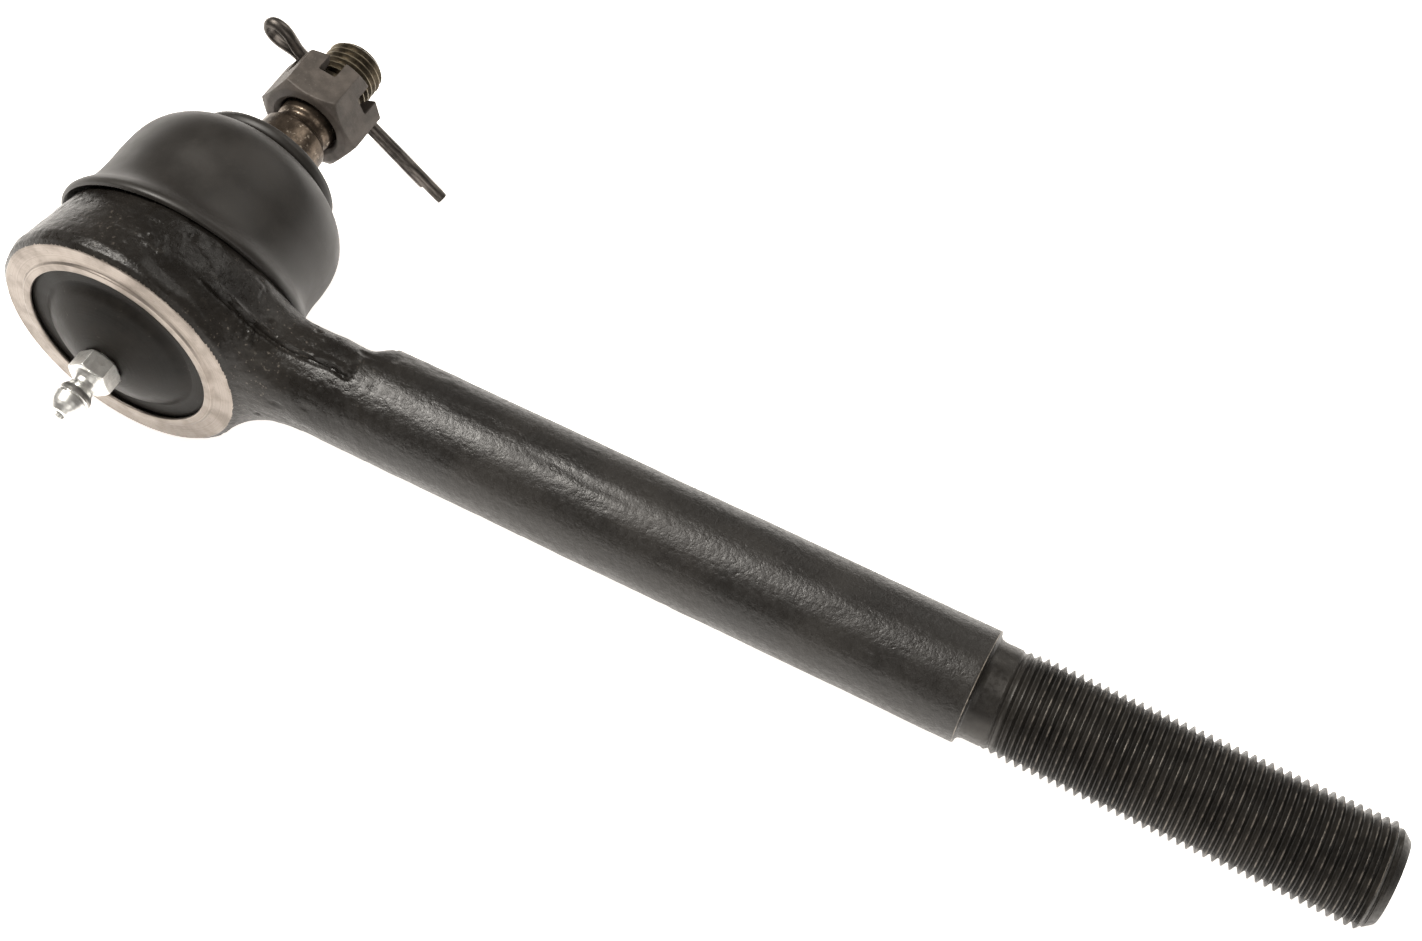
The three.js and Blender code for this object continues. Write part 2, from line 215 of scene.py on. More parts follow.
def thread(spec, segs, axis, limit):
    """A right-hand V thread whose rows follow its own helix, gathered at both ends into a square cut.
    limit(h) is the largest radius at height h."""
    pitch, depth = spec["pitch"], spec["crest"] - spec["root"]
    shape = [(0.0, 1.0), (0.07, 0.97), (0.37, 0.1), (0.44, 0.0), (0.56, 0.0), (0.63, 0.1), (0.93, 0.97)]
    n = len(shape)
    turns = math.ceil((spec["end"] - spec["start"]) / pitch) + 2
    rows = turns * n
    share = np.array([s for s, _ in shape])
    high = np.array([h for _, h in shape])
    k = np.arange(rows)
    base = spec["start"] + pitch * (k // n - 1 + share[k % n])
    radius = spec["root"] + depth * high[k % n]
    a = 2 * np.pi * np.arange(segs + 1) / segs
    h = np.clip(base[:, None] + pitch * a / (2 * np.pi), spec["start"], spec["end"])
    worn = noise(np.stack([h.ravel() * 3, np.tile(a * 9, rows), np.repeat(radius, segs + 1)], 1), 2.2, 5)
    r = radius[:, None] + 0.03 * worn.reshape(h.shape) * (high[k % n] > 0.5)[:, None]
    r = np.minimum(r, limit(h))
    fade = step(spec["start"], spec["start"] + 0.7, h)
    r = r * fade + limit(np.full_like(h, spec["start"])) * (1 - fade)
    # x = h turns y towards z; y = h turns z towards x: both are right-hand
    u, v = r * np.cos(a), r * np.sin(a)
    grid = np.stack([h, u, v] if axis == "x" else [v, h, u], axis=-1)
    faces = []
    for i in range(rows - 1):
        for j in range(segs):
            q = i * (segs + 1) + j
            faces.append((q, q + 1, q + segs + 2, q + segs + 1))
    return grid.reshape(-1, 3), faces


def zipped(first, second, angle_of):
    """Triangles between two rings of (vertex number, point), each going once round its axis."""
    rings = []
    for ring in (first, second):
        found = sorted((angle_of(p), i) for i, p in ring)
        rings.append(found + [(found[0][0] + 2 * math.pi, found[0][1])])
    (a, b), i, j, faces = rings, 0, 0, []
    while i < len(a) - 1 or j < len(b) - 1:
        if j == len(b) - 1 or (i < len(a) - 1 and a[i + 1][0] <= b[j + 1][0]):
            faces.append((a[i][1], a[i + 1][1], b[j][1]))
            i += 1
        else:
            faces.append((a[i][1], b[j + 1][1], b[j][1]))
            j += 1
    return faces


def open_ends(faces):
    """The vertices along open edges."""
    count = {}
    for f in faces:
        for a, b in zip(f, f[1:] + f[:1]):
            key = (min(a, b), max(a, b))
            count[key] = count.get(key, 0) + 1
    return sorted({v for e, c in count.items() if c == 1 for v in e})


def crossings(field, lines, values, axis):
    """Where the surface crosses the grid's edges along one axis: (edge numbers, points, outward)."""
    a = values[tuple(slice(0, -1) if k == axis else slice(None) for k in range(3))]
    b = values[tuple(slice(1, None) if k == axis else slice(None) for k in range(3))]
    index = np.argwhere((a < 0) != (b < 0))
    at = tuple(index.T)
    low = np.stack([lines[k][index[:, k]] for k in range(3)], 1)
    high = low.copy()
    high[:, axis] = lines[axis][index[:, axis] + 1]
    va, vb = a[at], b[at]
    outward = va < 0
    for _ in range(3):
        t = np.clip(va / (va - vb), 0.02, 0.98)
        mid = low + (high - low) * t[:, None]
        vm = field(mid)
        same = (vm < 0) == (va < 0)
        low, va = np.where(same[:, None], mid, low), np.where(same, vm, va)
        high, vb = np.where(same[:, None], high, mid), np.where(same, vb, vm)
    t = va / (va - vb + 1e-30)
    return index, low + (high - low) * np.clip(t, 0, 1)[:, None], outward


def slope(field, points, h=0.02):
    """Unit direction in which the field grows."""
    g = np.stack([field(points + d) - field(points - d) for d in np.eye(3) * h], 1)
    return g / np.maximum(np.linalg.norm(g, axis=1, keepdims=True), 1e-12)


PAIRS = ((0, 0), (0, 1), (0, 2), (1, 1), (1, 2), (2, 2))
PULL = 0.08  # how strongly a cell's vertex is held to the middle of its crossings


def edge_terms(n, points):
    """What each crossing adds to its cells: six products, three right-hand sides, the point and a count."""
    nd = np.einsum("ij,ij->i", n, points)
    terms = [n[:, i] * n[:, j] for i, j in PAIRS]
    return terms + [n[:, i] * nd for i in range(3)] + [points[:, i] for i in range(3)] + [np.ones(len(n))]


def gathered(field, lines, values):
    """Each cell's sums over its crossings, the quads of cells round the crossings, and the count of cells."""
    cells = tuple(n - 1 for n in values.shape)
    size = int(np.prod(cells))
    sums = np.zeros((13, size))
    quads = []
    for axis in range(3):
        index, points, outward = crossings(field, lines, values, axis)
        terms = edge_terms(slope(field, points), points)
        across = [k for k in range(3) if k != axis]
        corners, usable = [], np.ones(len(index), bool)
        for back in ((0, 0), (1, 0), (1, 1), (0, 1)):
            c = index.copy()
            c[:, across] -= back
            inside = np.all((c >= 0) & (c < np.array(cells)), axis=1)
            flat = np.ravel_multi_index(tuple(np.clip(c, 0, np.array(cells) - 1).T), cells)
            for row, term in enumerate(terms):
                sums[row] += np.bincount(flat[inside], term[inside], size)
            corners.append(flat)
            usable &= inside
        quad = np.stack(corners, 1)[usable]
        flip = outward[usable] ^ (axis == 1)
        quad[flip] = quad[flip][:, ::-1]
        quads.append(quad)
    return sums, np.vstack(quads), cells


def contoured(field, lines):
    """(vertices, faces) of the surface where field is zero: one vertex to a grid cell, drawn onto edges and
    corners. The surface is left open where the grid ends."""
    grid = np.stack(np.meshgrid(*lines, indexing="ij"), -1)
    values = np.concatenate([field(slab.reshape(-1, 3)) for slab in grid]).reshape(grid.shape[:3])
    sums, quads, cells = gathered(field, lines, values)
    used = np.flatnonzero(sums[12] > 0)
    s = sums[:, used]
    mean = (s[9:12] / s[12]).T
    m = np.zeros((len(used), 3, 3))
    for row, (i, j) in enumerate(PAIRS):
        m[:, i, j] = m[:, j, i] = s[row]
    m += np.eye(3) * PULL
    solved = np.linalg.solve(m, (s[6:9].T + PULL * mean)[:, :, None])[:, :, 0]
    cell = np.stack(np.unravel_index(used, cells), 1)
    low = np.stack([lines[k][cell[:, k]] for k in range(3)], 1)
    high = np.stack([lines[k][cell[:, k] + 1] for k in range(3)], 1)
    number = np.full(sums.shape[1], -1)
    number[used] = np.arange(len(used))
    return np.clip(solved, low, high), [tuple(q) for q in number[quads].tolist()]


def add_piece(name, shape, body, materials, stands_for=(), sharp=38, merge=0.004, pick=None):
    """One closed object from (vertices, faces), riding on its body and standing for its CAD nodes.
    pick gives a material number for each face from the faces' middles."""
    vertices, faces = shape
    mesh = bpy.data.meshes.new(name)
    mesh.from_pydata(np.asarray(vertices, float).tolist(), [], faces)
    bm = bmesh.new()
    bm.from_mesh(mesh)
    bmesh.ops.remove_doubles(bm, verts=bm.verts, dist=merge)
    bmesh.ops.dissolve_degenerate(bm, edges=bm.edges, dist=merge / 4)
    bmesh.ops.recalc_face_normals(bm, faces=bm.faces)
    if bm.calc_volume(signed=True) < 0:
        bmesh.ops.reverse_faces(bm, faces=bm.faces)
    bm.to_mesh(mesh)
    bm.free()
    if pick is not None:
        middles = np.array([p.center for p in mesh.polygons])
        mesh.polygons.foreach_set("material_index", pick(middles).astype(np.int32))
    mesh.transform(Matrix.Translation(BALL) @ Matrix.Scale(MM, 4))
    mesh.shade_smooth()
    mesh.set_sharp_from_angle(angle=math.radians(sharp))
    obj = bpy.data.objects.new(name, mesh)
    bpy.context.scene.collection.objects.link(obj)
    for m in materials if isinstance(materials, (list, tuple)) else [materials]:
        mesh.materials.append(m)
    if body:
        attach(obj, body)
    if stands_for:
        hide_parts(*stands_for)
    return obj


# ---- materials ----
class Shader:
    """A Principled material and a short way to add nodes to it."""

    def __init__(self, name, colour, rough, metal=0.0, **sockets):
        self.material = bpy.data.materials.new(name)
        self.material.use_nodes = True
        self.nodes = self.material.node_tree.nodes
        self.links = self.material.node_tree.links
        self.bsdf = self.nodes["Principled BSDF"]
        self.into("Base Color", (*colour, 1))
        self.into("Roughness", rough)
        self.into("Metallic", metal)
        for key, value in sockets.items():
            self.into(key.replace("_", " "), value)
        self.place = self.nodes.new("ShaderNodeTexCoord").outputs["Object"]

    def feed(self, socket, value):
        """Links an output to a socket, or sets a plain value on it."""
        if hasattr(value, "is_output"):
            self.links.new(value, socket)
        else:
            socket.default_value = value

    def into(self, socket, value):
        self.feed(self.bsdf.inputs[socket], value)

    def add(self, kind, inputs=None, **settings):
        node = self.nodes.new("ShaderNode" + kind)
        for key, value in settings.items():
            setattr(node, key, value)
        for key, value in (inputs or {}).items():
            self.feed(node.inputs[key], value)
        return node

    def noise(self, size_mm, detail=3.0, rough=0.55, stretch=None, seed=0.0):
        """Noise whose features are about that many millimetres, drawn out along an axis by stretch."""
        scale = tuple(1 / s for s in (stretch or (1, 1, 1)))
        start = (seed, seed * 0.7, seed * 0.3)
        place = self.add("Mapping", {"Vector": self.place, "Scale": scale, "Location": start})
        inputs = {
            "Vector": place.outputs["Vector"], "Scale": 1000 / size_mm, "Detail": detail, "Roughness": rough,
        }
        return self.add("TexNoise", inputs).outputs["Fac"]

    def ramp(self, value, low=0.35, high=0.7, to_low=0.0, to_high=1.0):
        return self.add(
            "MapRange",
            {"Value": value, "From Min": low, "From Max": high, "To Min": to_low, "To Max": to_high},
            interpolation_type="SMOOTHSTEP",
        ).outputs["Result"]

    def math(self, operation, a, b):
        node = self.add("Math", operation=operation)
        self.feed(node.inputs[0], a)
        self.feed(node.inputs[1], b)
        return node.outputs["Value"]

    def times(self, a, b):
        return self.math("MULTIPLY", a, b)

    def mix(self, share, a, b):
        node = self.add("Mix", data_type="RGBA")
        for key, value in (("Factor", share), ("A", a), ("B", b)):
            socket = next(s for s in node.inputs if s.name == key and (key == "Factor" or s.type == "RGBA"))
            self.feed(socket, (*value, 1) if isinstance(value, tuple) else value)
        return next(s for s in node.outputs if s.type == "RGBA")

    def bump(self, height, depth_mm, strength=1.0, under=None):
        inputs = {"Height": height, "Distance": depth_mm * MM, "Strength": strength}
        if under is not None:
            inputs["Normal"] = under
        return self.add("Bump", inputs).outputs["Normal"]

    def from_ball(self):
        """The place seen from the centre of the ball, in metres."""
        return self.add("VectorMath", {0: self.place, 1: tuple(BALL)}, operation="SUBTRACT").outputs["Vector"]

    def from_axis(self, axis):
        """Distance in millimetres from the stud axis (y) or the shank axis (x)."""
        centred = self.from_ball()
        keep = (1, 0, 1) if axis == "y" else (0, 1, 1)
        flat = self.add("VectorMath", {0: centred, 1: keep}, operation="MULTIPLY").outputs["Vector"]
        length = self.add("VectorMath", {0: flat}, operation="LENGTH").outputs["Value"]
        return self.times(length, 1000.0)

    def along(self, axis):
        """Millimetres from the ball along an axis."""
        parts = self.add("SeparateXYZ", {"Vector": self.from_ball()})
        return self.times(parts.outputs[axis.upper()], 1000.0)

    def lines(self, along_mm, scale, detail, **rough):
        """Fine lines that repeat along a measure in millimetres."""
        inputs = {"W": along_mm, "Scale": scale, "Detail": detail, **rough}
        return self.add("TexNoise", inputs, noise_dimensions="1D").outputs["Fac"]


def forged_black():
    """Black paint over a forged skin, glossier on the eye and satin with long faint laps on the shank, with
    painted glints as bright dots on the eye and a thin painted highlight round the shoulder's corner.
    """
    s = Shader("forged_black_paint", (0.012, 0.0105, 0.009), 0.42, Specular_IOR_Level=0.5)
    patches = s.noise(16, 3)
    grain = s.noise(0.9, 4, 0.6)
    fine = s.noise(0.33, 2, 0.6)
    laps = s.noise(2.4, 3, 0.55, stretch=(7, 1, 1), seed=3)
    eye = s.ramp(s.along("x"), 34, 54, 1.0, 0.0)
    # painted glints: bright dots scattered over the eye's paint
    glint_specks = s.ramp(s.noise(0.7, 4, 0.65, seed=9), 0.6, 0.7)
    glint_share = s.times(glint_specks, s.ramp(patches, 0.46, 0.6))
    tone = s.mix(s.ramp(patches), (0.009, 0.0078, 0.0067), (0.017, 0.0148, 0.0126))
    # painted glints: the dots lighten the eye's base colour
    tone = s.mix(s.times(glint_share, s.times(eye, 0.6)), tone, (0.16, 0.14, 0.12))
    tone = s.mix(s.ramp(laps, 0.64, 0.76, 0.0, 0.3), tone, (0.045, 0.04, 0.034))
    # painted highlight: a thin light line round the corner of the shank's shoulder
    edge = s.times(s.ramp(s.along("x"), SHANK_END - 0.2, SHANK_END - 0.1),
                  s.ramp(s.from_axis("x"), SHANK_R - 0.14, SHANK_R - 0.08))
    edge = s.times(edge, s.ramp(s.noise(1.3, 3, 0.6, seed=12), 0.35, 0.6, 0.35, 1.0))
    s.into("Base Color", s.mix(edge, tone, (0.3, 0.265, 0.225)))
    gloss = s.math("ADD", s.ramp(patches, 0.35, 0.7, 0.36, 0.44), s.ramp(grain, 0.3, 0.7, -0.06, 0.08))
    s.into("Roughness", s.math("SUBTRACT", gloss, s.times(eye, 0.08)))
    s.into("Specular IOR Level", s.math("SUBTRACT", 0.5, s.times(eye, 0.2)))
    deep = s.bump(grain, 0.2, 0.6)
    deep = s.bump(laps, 0.22, 0.35, deep)
    s.into("Normal", s.bump(fine, 0.05, 0.6, deep))
    return s.material


def turned_ring():
    """Bright turned steel with fine rings about the stud axis and dull patches."""
    s = Shader("turned_bright_steel", (0.55, 0.5, 0.45), 0.4, 1.0)
    lines = s.lines(s.from_axis("y"), 5.0, 4.0, Roughness=0.7)
    patches = s.noise(5, 4, 0.6)
    pits = s.ramp(s.noise(0.8, 3, 0.6, seed=4), 0.64, 0.72)
    tone = s.mix(s.ramp(patches, 0.35, 0.68), (0.34, 0.3, 0.268), (0.23, 0.2, 0.175))
    tone = s.mix(s.ramp(lines, 0.3, 0.7, 0.0, 0.35), tone, (0.2, 0.177, 0.155))
    tone = s.mix(s.times(pits, 0.5), tone, (0.16, 0.14, 0.125))
    s.into("Base Color", tone)
    dull = s.ramp(patches, 0.35, 0.7, 0.0, 0.12)
    s.into("Roughness", s.math("ADD", s.ramp(lines, 0.3, 0.7, 0.3, 0.42), dull))
    s.into("Normal", s.bump(s.noise(0.35, 2), 0.02, 0.4, s.bump(lines, 0.03, 0.5)))
    return s.material


def black_thread():
    """Blackened machined thread: dark flanks, and crests rubbed a little brighter."""
    s = Shader("blackened_thread", (0.02, 0.018, 0.016), 0.4, 0.35)
    patches = s.noise(7, 3)
    crest = s.ramp(s.from_axis("x"), ROD_THREAD["crest"] - 0.15, ROD_THREAD["crest"] + 0.02)
    rub = s.times(crest, s.ramp(s.noise(1.6, 4, 0.65, seed=2), 0.42, 0.66))
    tone = s.mix(s.ramp(patches), (0.014, 0.0125, 0.011), (0.03, 0.027, 0.0235))
    tone = s.mix(s.times(rub, 0.55), tone, (0.2, 0.175, 0.15))
    s.into("Base Color", tone)
    s.into("Roughness", s.ramp(s.noise(0.7, 3), 0.3, 0.7, 0.3, 0.48))
    s.into("Normal", s.bump(s.noise(0.25, 2), 0.02, 0.4))
    return s.material


def rubber():
    """Satin charcoal rubber with a faint moulded grain and dusty patches."""
    s = Shader("charcoal_rubber", (0.018, 0.0158, 0.0138), 0.44, 0.0, Specular_IOR_Level=0.45)
    patches = s.noise(9, 4, 0.6)
    dust = s.ramp(s.noise(3.2, 5, 0.7, seed=6), 0.55, 0.8)
    tone = s.mix(s.ramp(patches), (0.015, 0.0132, 0.0115), (0.022, 0.0193, 0.0168))
    s.into("Base Color", s.mix(s.times(dust, 0.3), tone, (0.055, 0.049, 0.043)))
    s.into("Roughness", s.ramp(patches, 0.3, 0.7, 0.4, 0.52))
    s.into("Normal", s.bump(s.noise(0.3, 2, 0.6), 0.02, 0.35, s.bump(s.noise(2.6, 3), 0.06, 0.3)))
    return s.material


def stud_steel():
    """Brown heat-tinted steel with turning lines and bright flecks."""
    s = Shader("tinted_stud_steel", (0.2, 0.165, 0.13), 0.34, 0.9)
    lines = s.lines(s.along("y"), 3.5, 4.0, Roughness=0.7)
    patches = s.noise(2.4, 4, 0.65, stretch=(1, 1.6, 1))
    flecks = s.ramp(s.noise(0.9, 4, 0.65, seed=5), 0.58, 0.7)
    tone = s.mix(s.ramp(patches, 0.32, 0.68), (0.05, 0.038, 0.028), (0.16, 0.125, 0.095))
    s.into("Base Color", s.mix(s.times(flecks, 0.65), tone, (0.6, 0.52, 0.42)))
    s.into("Roughness", s.ramp(patches, 0.3, 0.7, 0.42, 0.26))
    s.into("Normal", s.bump(s.noise(0.5, 3), 0.05, 0.5, s.bump(lines, 0.03, 0.4)))
    return s.material


def stud_thread_steel():
    """Olive-brown oiled thread."""
    s = Shader("oiled_stud_thread", (0.13, 0.11, 0.078), 0.36, 0.85)
    patches = s.noise(2.0, 4, 0.6)
    tone = s.mix(s.ramp(patches, 0.32, 0.68), (0.05, 0.041, 0.028), (0.13, 0.108, 0.076))
    rub = s.times(s.ramp(s.from_axis("y"), 5.35, 5.56), 0.5)
    s.into("Base Color", s.mix(rub, tone, (0.3, 0.26, 0.19)))
    s.into("Roughness", s.ramp(s.noise(0.6, 3), 0.3, 0.7, 0.28, 0.46))
    s.into("Normal", s.bump(s.noise(0.25, 2), 0.02, 0.4))
    return s.material


def phosphate():
    """Dull grey phosphate coat on the nut, lighter in a fine scattered grain."""
    s = Shader("phosphate_coat", (0.07, 0.062, 0.055), 0.55, 0.25)
    patches = s.noise(3.5, 4, 0.6)
    grain = s.noise(0.4, 3, 0.65)
    tone = s.mix(s.ramp(patches, 0.32, 0.7), (0.06, 0.0505, 0.0435), (0.105, 0.089, 0.077))
    s.into("Base Color", s.mix(s.ramp(grain, 0.55, 0.75, 0.0, 0.4), tone, (0.16, 0.145, 0.13)))
    s.into("Roughness", s.ramp(grain, 0.3, 0.7, 0.5, 0.64))
    s.into("Normal", s.bump(grain, 0.05, 0.5, s.bump(s.noise(2.0, 3), 0.08, 0.3)))
    return s.material


def pin_steel():
    """Dark drawn wire with lines along it and bright rubbed streaks."""
    s = Shader("dark_pin_wire", (0.1, 0.09, 0.08), 0.38, 0.85)
    streaks = s.noise(0.8, 4, 0.6, stretch=(5, 1, 5))
    tone = s.mix(s.ramp(streaks, 0.35, 0.7), (0.05, 0.045, 0.04), (0.19, 0.17, 0.155))
    s.into("Base Color", tone)
    s.into("Roughness", s.ramp(streaks, 0.3, 0.7, 0.44, 0.3))
    s.into("Normal", s.bump(s.noise(0.4, 3), 0.03, 0.45))
    return s.material


def cover_paint():
    """Dark drawn steel with a satin finish, smudged and faintly ringed."""
    s = Shader("dark_drawn_steel", (0.008, 0.007, 0.006), 0.4, 0.0, Specular_IOR_Level=0.12)
    lines = s.lines(s.from_axis("y"), 2.6, 3.0)
    patches = s.noise(6, 4, 0.6)
    marks = s.ramp(s.noise(1.4, 4, 0.65, seed=8), 0.64, 0.74)
    tone = s.mix(s.ramp(patches, 0.32, 0.7), (0.006, 0.0053, 0.0044), (0.013, 0.0113, 0.0095))
    s.into("Base Color", s.mix(s.times(marks, 0.3), tone, (0.07, 0.062, 0.055)))
    s.into("Roughness", s.ramp(patches, 0.3, 0.7, 0.38, 0.5))
    s.into("Normal", s.bump(s.noise(0.4, 3), 0.03, 0.4, s.bump(lines, 0.05, 0.4)))
    return s.material


def zinc():
    """Bright zinc plate, a little cloudy, with fine turning lines."""
    s = Shader("bright_zinc_plate", (0.62, 0.62, 0.61), 0.32, 1.0)
    lines = s.lines(s.along("y"), 9.0, 3.0)
    cloud = s.noise(1.1, 4, 0.6)
    tone = s.mix(s.ramp(cloud, 0.35, 0.7), (0.88, 0.88, 0.86), (0.62, 0.62, 0.6))
    s.into("Base Color", tone)
    s.into("Roughness", s.ramp(cloud, 0.3, 0.7, 0.28, 0.42))
    s.into("Normal", s.bump(s.noise(0.5, 3), 0.01, 0.3, s.bump(lines, 0.01, 0.4)))
    return s.material


def plain_metal(name, colour, rough, size_mm):
    """A machined or sintered inner piece: mottled colour, fine grain."""
    s = Shader(name, colour, rough, 0.9)
    cloud = s.noise(size_mm, 4, 0.6)
    s.into("Base Color", s.mix(s.ramp(cloud, 0.3, 0.7), tuple(c * 0.7 for c in colour), colour))
    s.into("Roughness", s.ramp(cloud, 0.3, 0.7, rough - 0.06, rough + 0.08))
    s.into("Normal", s.bump(s.noise(size_mm / 4, 2), 0.02, 0.4))
    return s.material


def bearing_polymer():
    """Pale greased polymer bearing."""
    s = Shader("greased_polymer", (0.55, 0.52, 0.42), 0.42)
    cloud = s.noise(2.4, 4, 0.6)
    s.into("Base Color", s.mix(s.ramp(cloud, 0.3, 0.7), (0.5, 0.46, 0.36), (0.6, 0.57, 0.47)))
    s.into("Roughness", s.ramp(cloud, 0.3, 0.7, 0.3, 0.5))
    s.into("Normal", s.bump(s.noise(0.5, 2), 0.02, 0.3))
    return s.material


def pale_floor():
    """A pale studio floor that shines a little by itself, so that it reads as white."""
    s = Shader("pale_floor", (0.9, 0.9, 0.9), 0.9, 0.0, Specular_IOR_Level=0.0)
    cloud = s.noise(300, 2)
    s.into("Base Color", s.mix(cloud, (0.9, 0.9, 0.9), (0.92, 0.92, 0.92)))
    s.into("Emission Color", (1, 0.95, 0.9, 1))
    s.into("Emission Strength", 0.96)
    return s.material


# ---- housing ----
EYE_OUTLINE = [
    (0, 11.35), (14.05, 11.35), (16.4, 10.65), (18.6, 9.05), (20.3, 6.45), (21.35, 3.25), (21.95, -1.6),
    (22.7, -6.5), (23.0, -8.8), (22.7, -10.25), (21.8, -11.15), (0, -11.15),
]
# x, top, bottom, half width, squareness of the neck's section
NECK = np.array([
    (4.7, 7.35, -10.5, 20.1, 2.6), (8.5, 7.25, -10.6, 19.15, 2.6), (14.2, 7.15, -10.6, 16.9, 2.6),
    (18, 7.05, -10.6, 14.3, 2.6), (20.9, 6.85, -10.5, 12.3, 2.6), (23.7, 6.7, -10.3, 10.8, 2.5),
    (27.5, 6.5, -10.0, 9.7, 2.2), (32.2, 6.5, -9.6, 9.45, 2.05), (40, 6.6, -9.46, 9.4, 2.0),
])

GRAIN_END = (42, 57)  # x over which the forged grain quietens down to the shank's
ROD_TIP_R = 6.85
# laps along the shank: x, half width, degrees round from +Y towards +Z, half length, depth
LAPS = [
    (79.5, 0.9, 102, 8, 0.13), (86, 0.8, 104, 6, 0.12), (62.5, 0.8, 88, 7, 0.1), (128.5, 1.0, 105, 2.6, -0.1),
    (78.5, 0.7, 82, 3.0, -0.09), (112, 0.8, 250, 9, 0.1), (68, 0.8, 290, 8, 0.1), (93, 0.9, 20, 7, 0.1),
]


def smooth_min(a, b, k):
    """The smaller of two distances, blended over k where they are close."""
    h = np.maximum(k - np.abs(a - b), 0) / k
    return np.minimum(a, b) - h * h * k / 4


def outline_distance(outline, r, y):
    """Signed distance from [radius, y] points to a closed outline, negative inside."""
    p = np.asarray(outline, float)
    best = np.full(len(r), 1e9)
    inside = np.zeros(len(r), bool)
    for (r0, y0), (r1, y1) in zip(p, np.roll(p, -1, axis=0)):
        dr, dy = r1 - r0, y1 - y0
        t = np.clip(((r - r0) * dr + (y - y0) * dy) / (dr * dr + dy * dy), 0, 1)
        best = np.minimum(best, (r - r0 - t * dr) ** 2 + (y - y0 - t * dy) ** 2)
        if dy:
            crosses = (y0 > y) != (y1 > y)
            inside ^= crosses & (r < r0 + (y - y0) / dy * dr)
    return np.sqrt(best) * np.where(inside, -1, 1)


NECK_FINE = spline(NECK, 8)


def forged_field(p):
    """Distance to the forged skin: the eye, its offset neck and the shank, with blended roots."""
    x, y, z = p.T
    top, bottom, half, power = (np.interp(x, NECK_FINE[:, 0], NECK_FINE[:, k]) for k in range(1, 5))
    middle, tall = (top + bottom) / 2, (top - bottom) / 2
    rho = ((np.abs(z) / half) ** power + (np.abs(y - middle) / tall) ** power) ** (1 / power)
    neck = np.hypot(y - middle, z) * (1 - 1 / np.maximum(rho, 1e-3))
    neck = np.maximum(neck, 4 - x)
    squash = SHANK_R / (FLATTENED + (SHANK_R - FLATTENED) * step(*FLAT_END, x))
    squash = np.where(y > 0, squash, 1.0)
    reach = np.maximum(np.hypot(y * squash, z), 1e-6)
    shank = (reach - SHANK_R) * reach / np.maximum(np.hypot(y * squash**2, z), 1e-6)
    share = step(*NECK_TO_SHANK, x)
    arm = neck * (1 - share) + shank * share
    r = np.hypot(x, z)
    near = r < EYE_REACH
    eye = np.where(near, 0.0, r - 21.6)
    eye[near] = outline_distance(EYE_OUTLINE, r[near], y[near])
    root = np.interp(y, [-11.1, -10.2, -6.5, 5], [0.25, 1.2, 4.4, 5.0])
    return smooth_min(eye, arm, root)


def parting_line(p):
    """The dies' parting line: on both sides of the neck, ending in a small hook, and round the far eye."""
    x, y, z = p.T
    r = np.hypot(x, z)
    waver = 0.25 * noise(np.stack([x, 0 * x, np.sign(z) * 9], 1), 6.0, 4)
    line = waver - 4.1 + 0.065 * (x - 12) - 0.7 * step(36.5, 39.5, x)
    s = y - line
    along = step(12.5, 15, x) * (1 - step(39.2, 40.2, x)) * step(5, 7, np.abs(z))
    ledge = 0.65 * step(-0.25, 0.1, s) * np.exp(-np.maximum(s, 0) / 5)
    relief = along * (ledge + 0.3 * np.exp(-((s - 0.25) / 0.5) ** 2))
    relief -= along * 0.4 * np.exp(-((s + 0.5) / 0.35) ** 2)
    angle = np.degrees(np.arctan2(z, x))
    round_eye = step(17, 20, r) * (np.abs(angle) > 60) * step(-60, -40, y)
    return relief + round_eye * 0.1 * np.exp(-((y - 0.3) / 0.6) ** 2)


def eye_marks(p):
    """A rough welt where the neck leaves the eye, struck and pitted skin, and a flat patch by the ring."""
    x, y, z = p.T
    r = np.hypot(x, z)
    angle = np.degrees(np.arctan2(z, x))
    welt = np.exp(-(((x - 22) / 3.0) ** 2 + ((y + 6.0) / 2.0) ** 2)) * (z > 5)
    relief = welt * (0.75 * np.abs(noise(p, 1.1, 8)) + 0.2)
    struck = np.exp(-(((angle - 82) / 14) ** 2 + ((y + 3.8) / 2.4) ** 2)) * (r < 26)
    relief += struck * 0.4 * np.abs(noise(p, 0.95, 13))
    pits = np.maximum(noise(p, 1.7, 6) - 0.42, 0) * np.maximum(noise(p, 8.0, 7) + 0.35, 0)
    relief -= 0.9 * pits * step(15, 19, r) * (1 - 0.7 * step(*GRAIN_END, x))
    patch = np.exp(-(((angle - 65) / 9) ** 4 + ((y + 7.4) / 1.8) ** 4)) * (r < 26)
    return relief - patch * 0.35


def shank_laps(p):
    """Shallow laps drawn along the shank and two short scuffs that stand proud."""
    x, y, z = p.T
    turned = np.degrees(np.arctan2(z, y))
    relief = np.zeros(len(x))
    for at, wide, turn, long, depth in LAPS:
        off = ((turned - turn + 180) % 360 - 180) * math.radians(SHANK_R)
        bend = 0.5 * noise(np.stack([x, 0 * x + turn, 0 * x], 1), 3.0, 11)
        relief -= depth * np.exp(-((off - bend) / wide) ** 2) * np.exp(-((x - at) / long) ** 4)
    return relief


def forging_relief(p):
    """How far the skin stands proud of the plain shape, fading out before the turned faces."""
    x, y = p[:, 0], p[:, 1]
    grain = 0.13 * noise(p, 7.0, 1) + 0.07 * noise(p, 2.6, 2) + 0.045 * noise(p, 1.2, 3)
    relief = grain * (1 - 0.55 * step(*GRAIN_END, x)) + parting_line(p) + eye_marks(p) + shank_laps(p)
    fade = step(-10.85, -10.1, y) * (1 - step(8.7, 9.8, y) * (x < 30)) * (1 - step(144, 148.5, x))
    return relief * fade


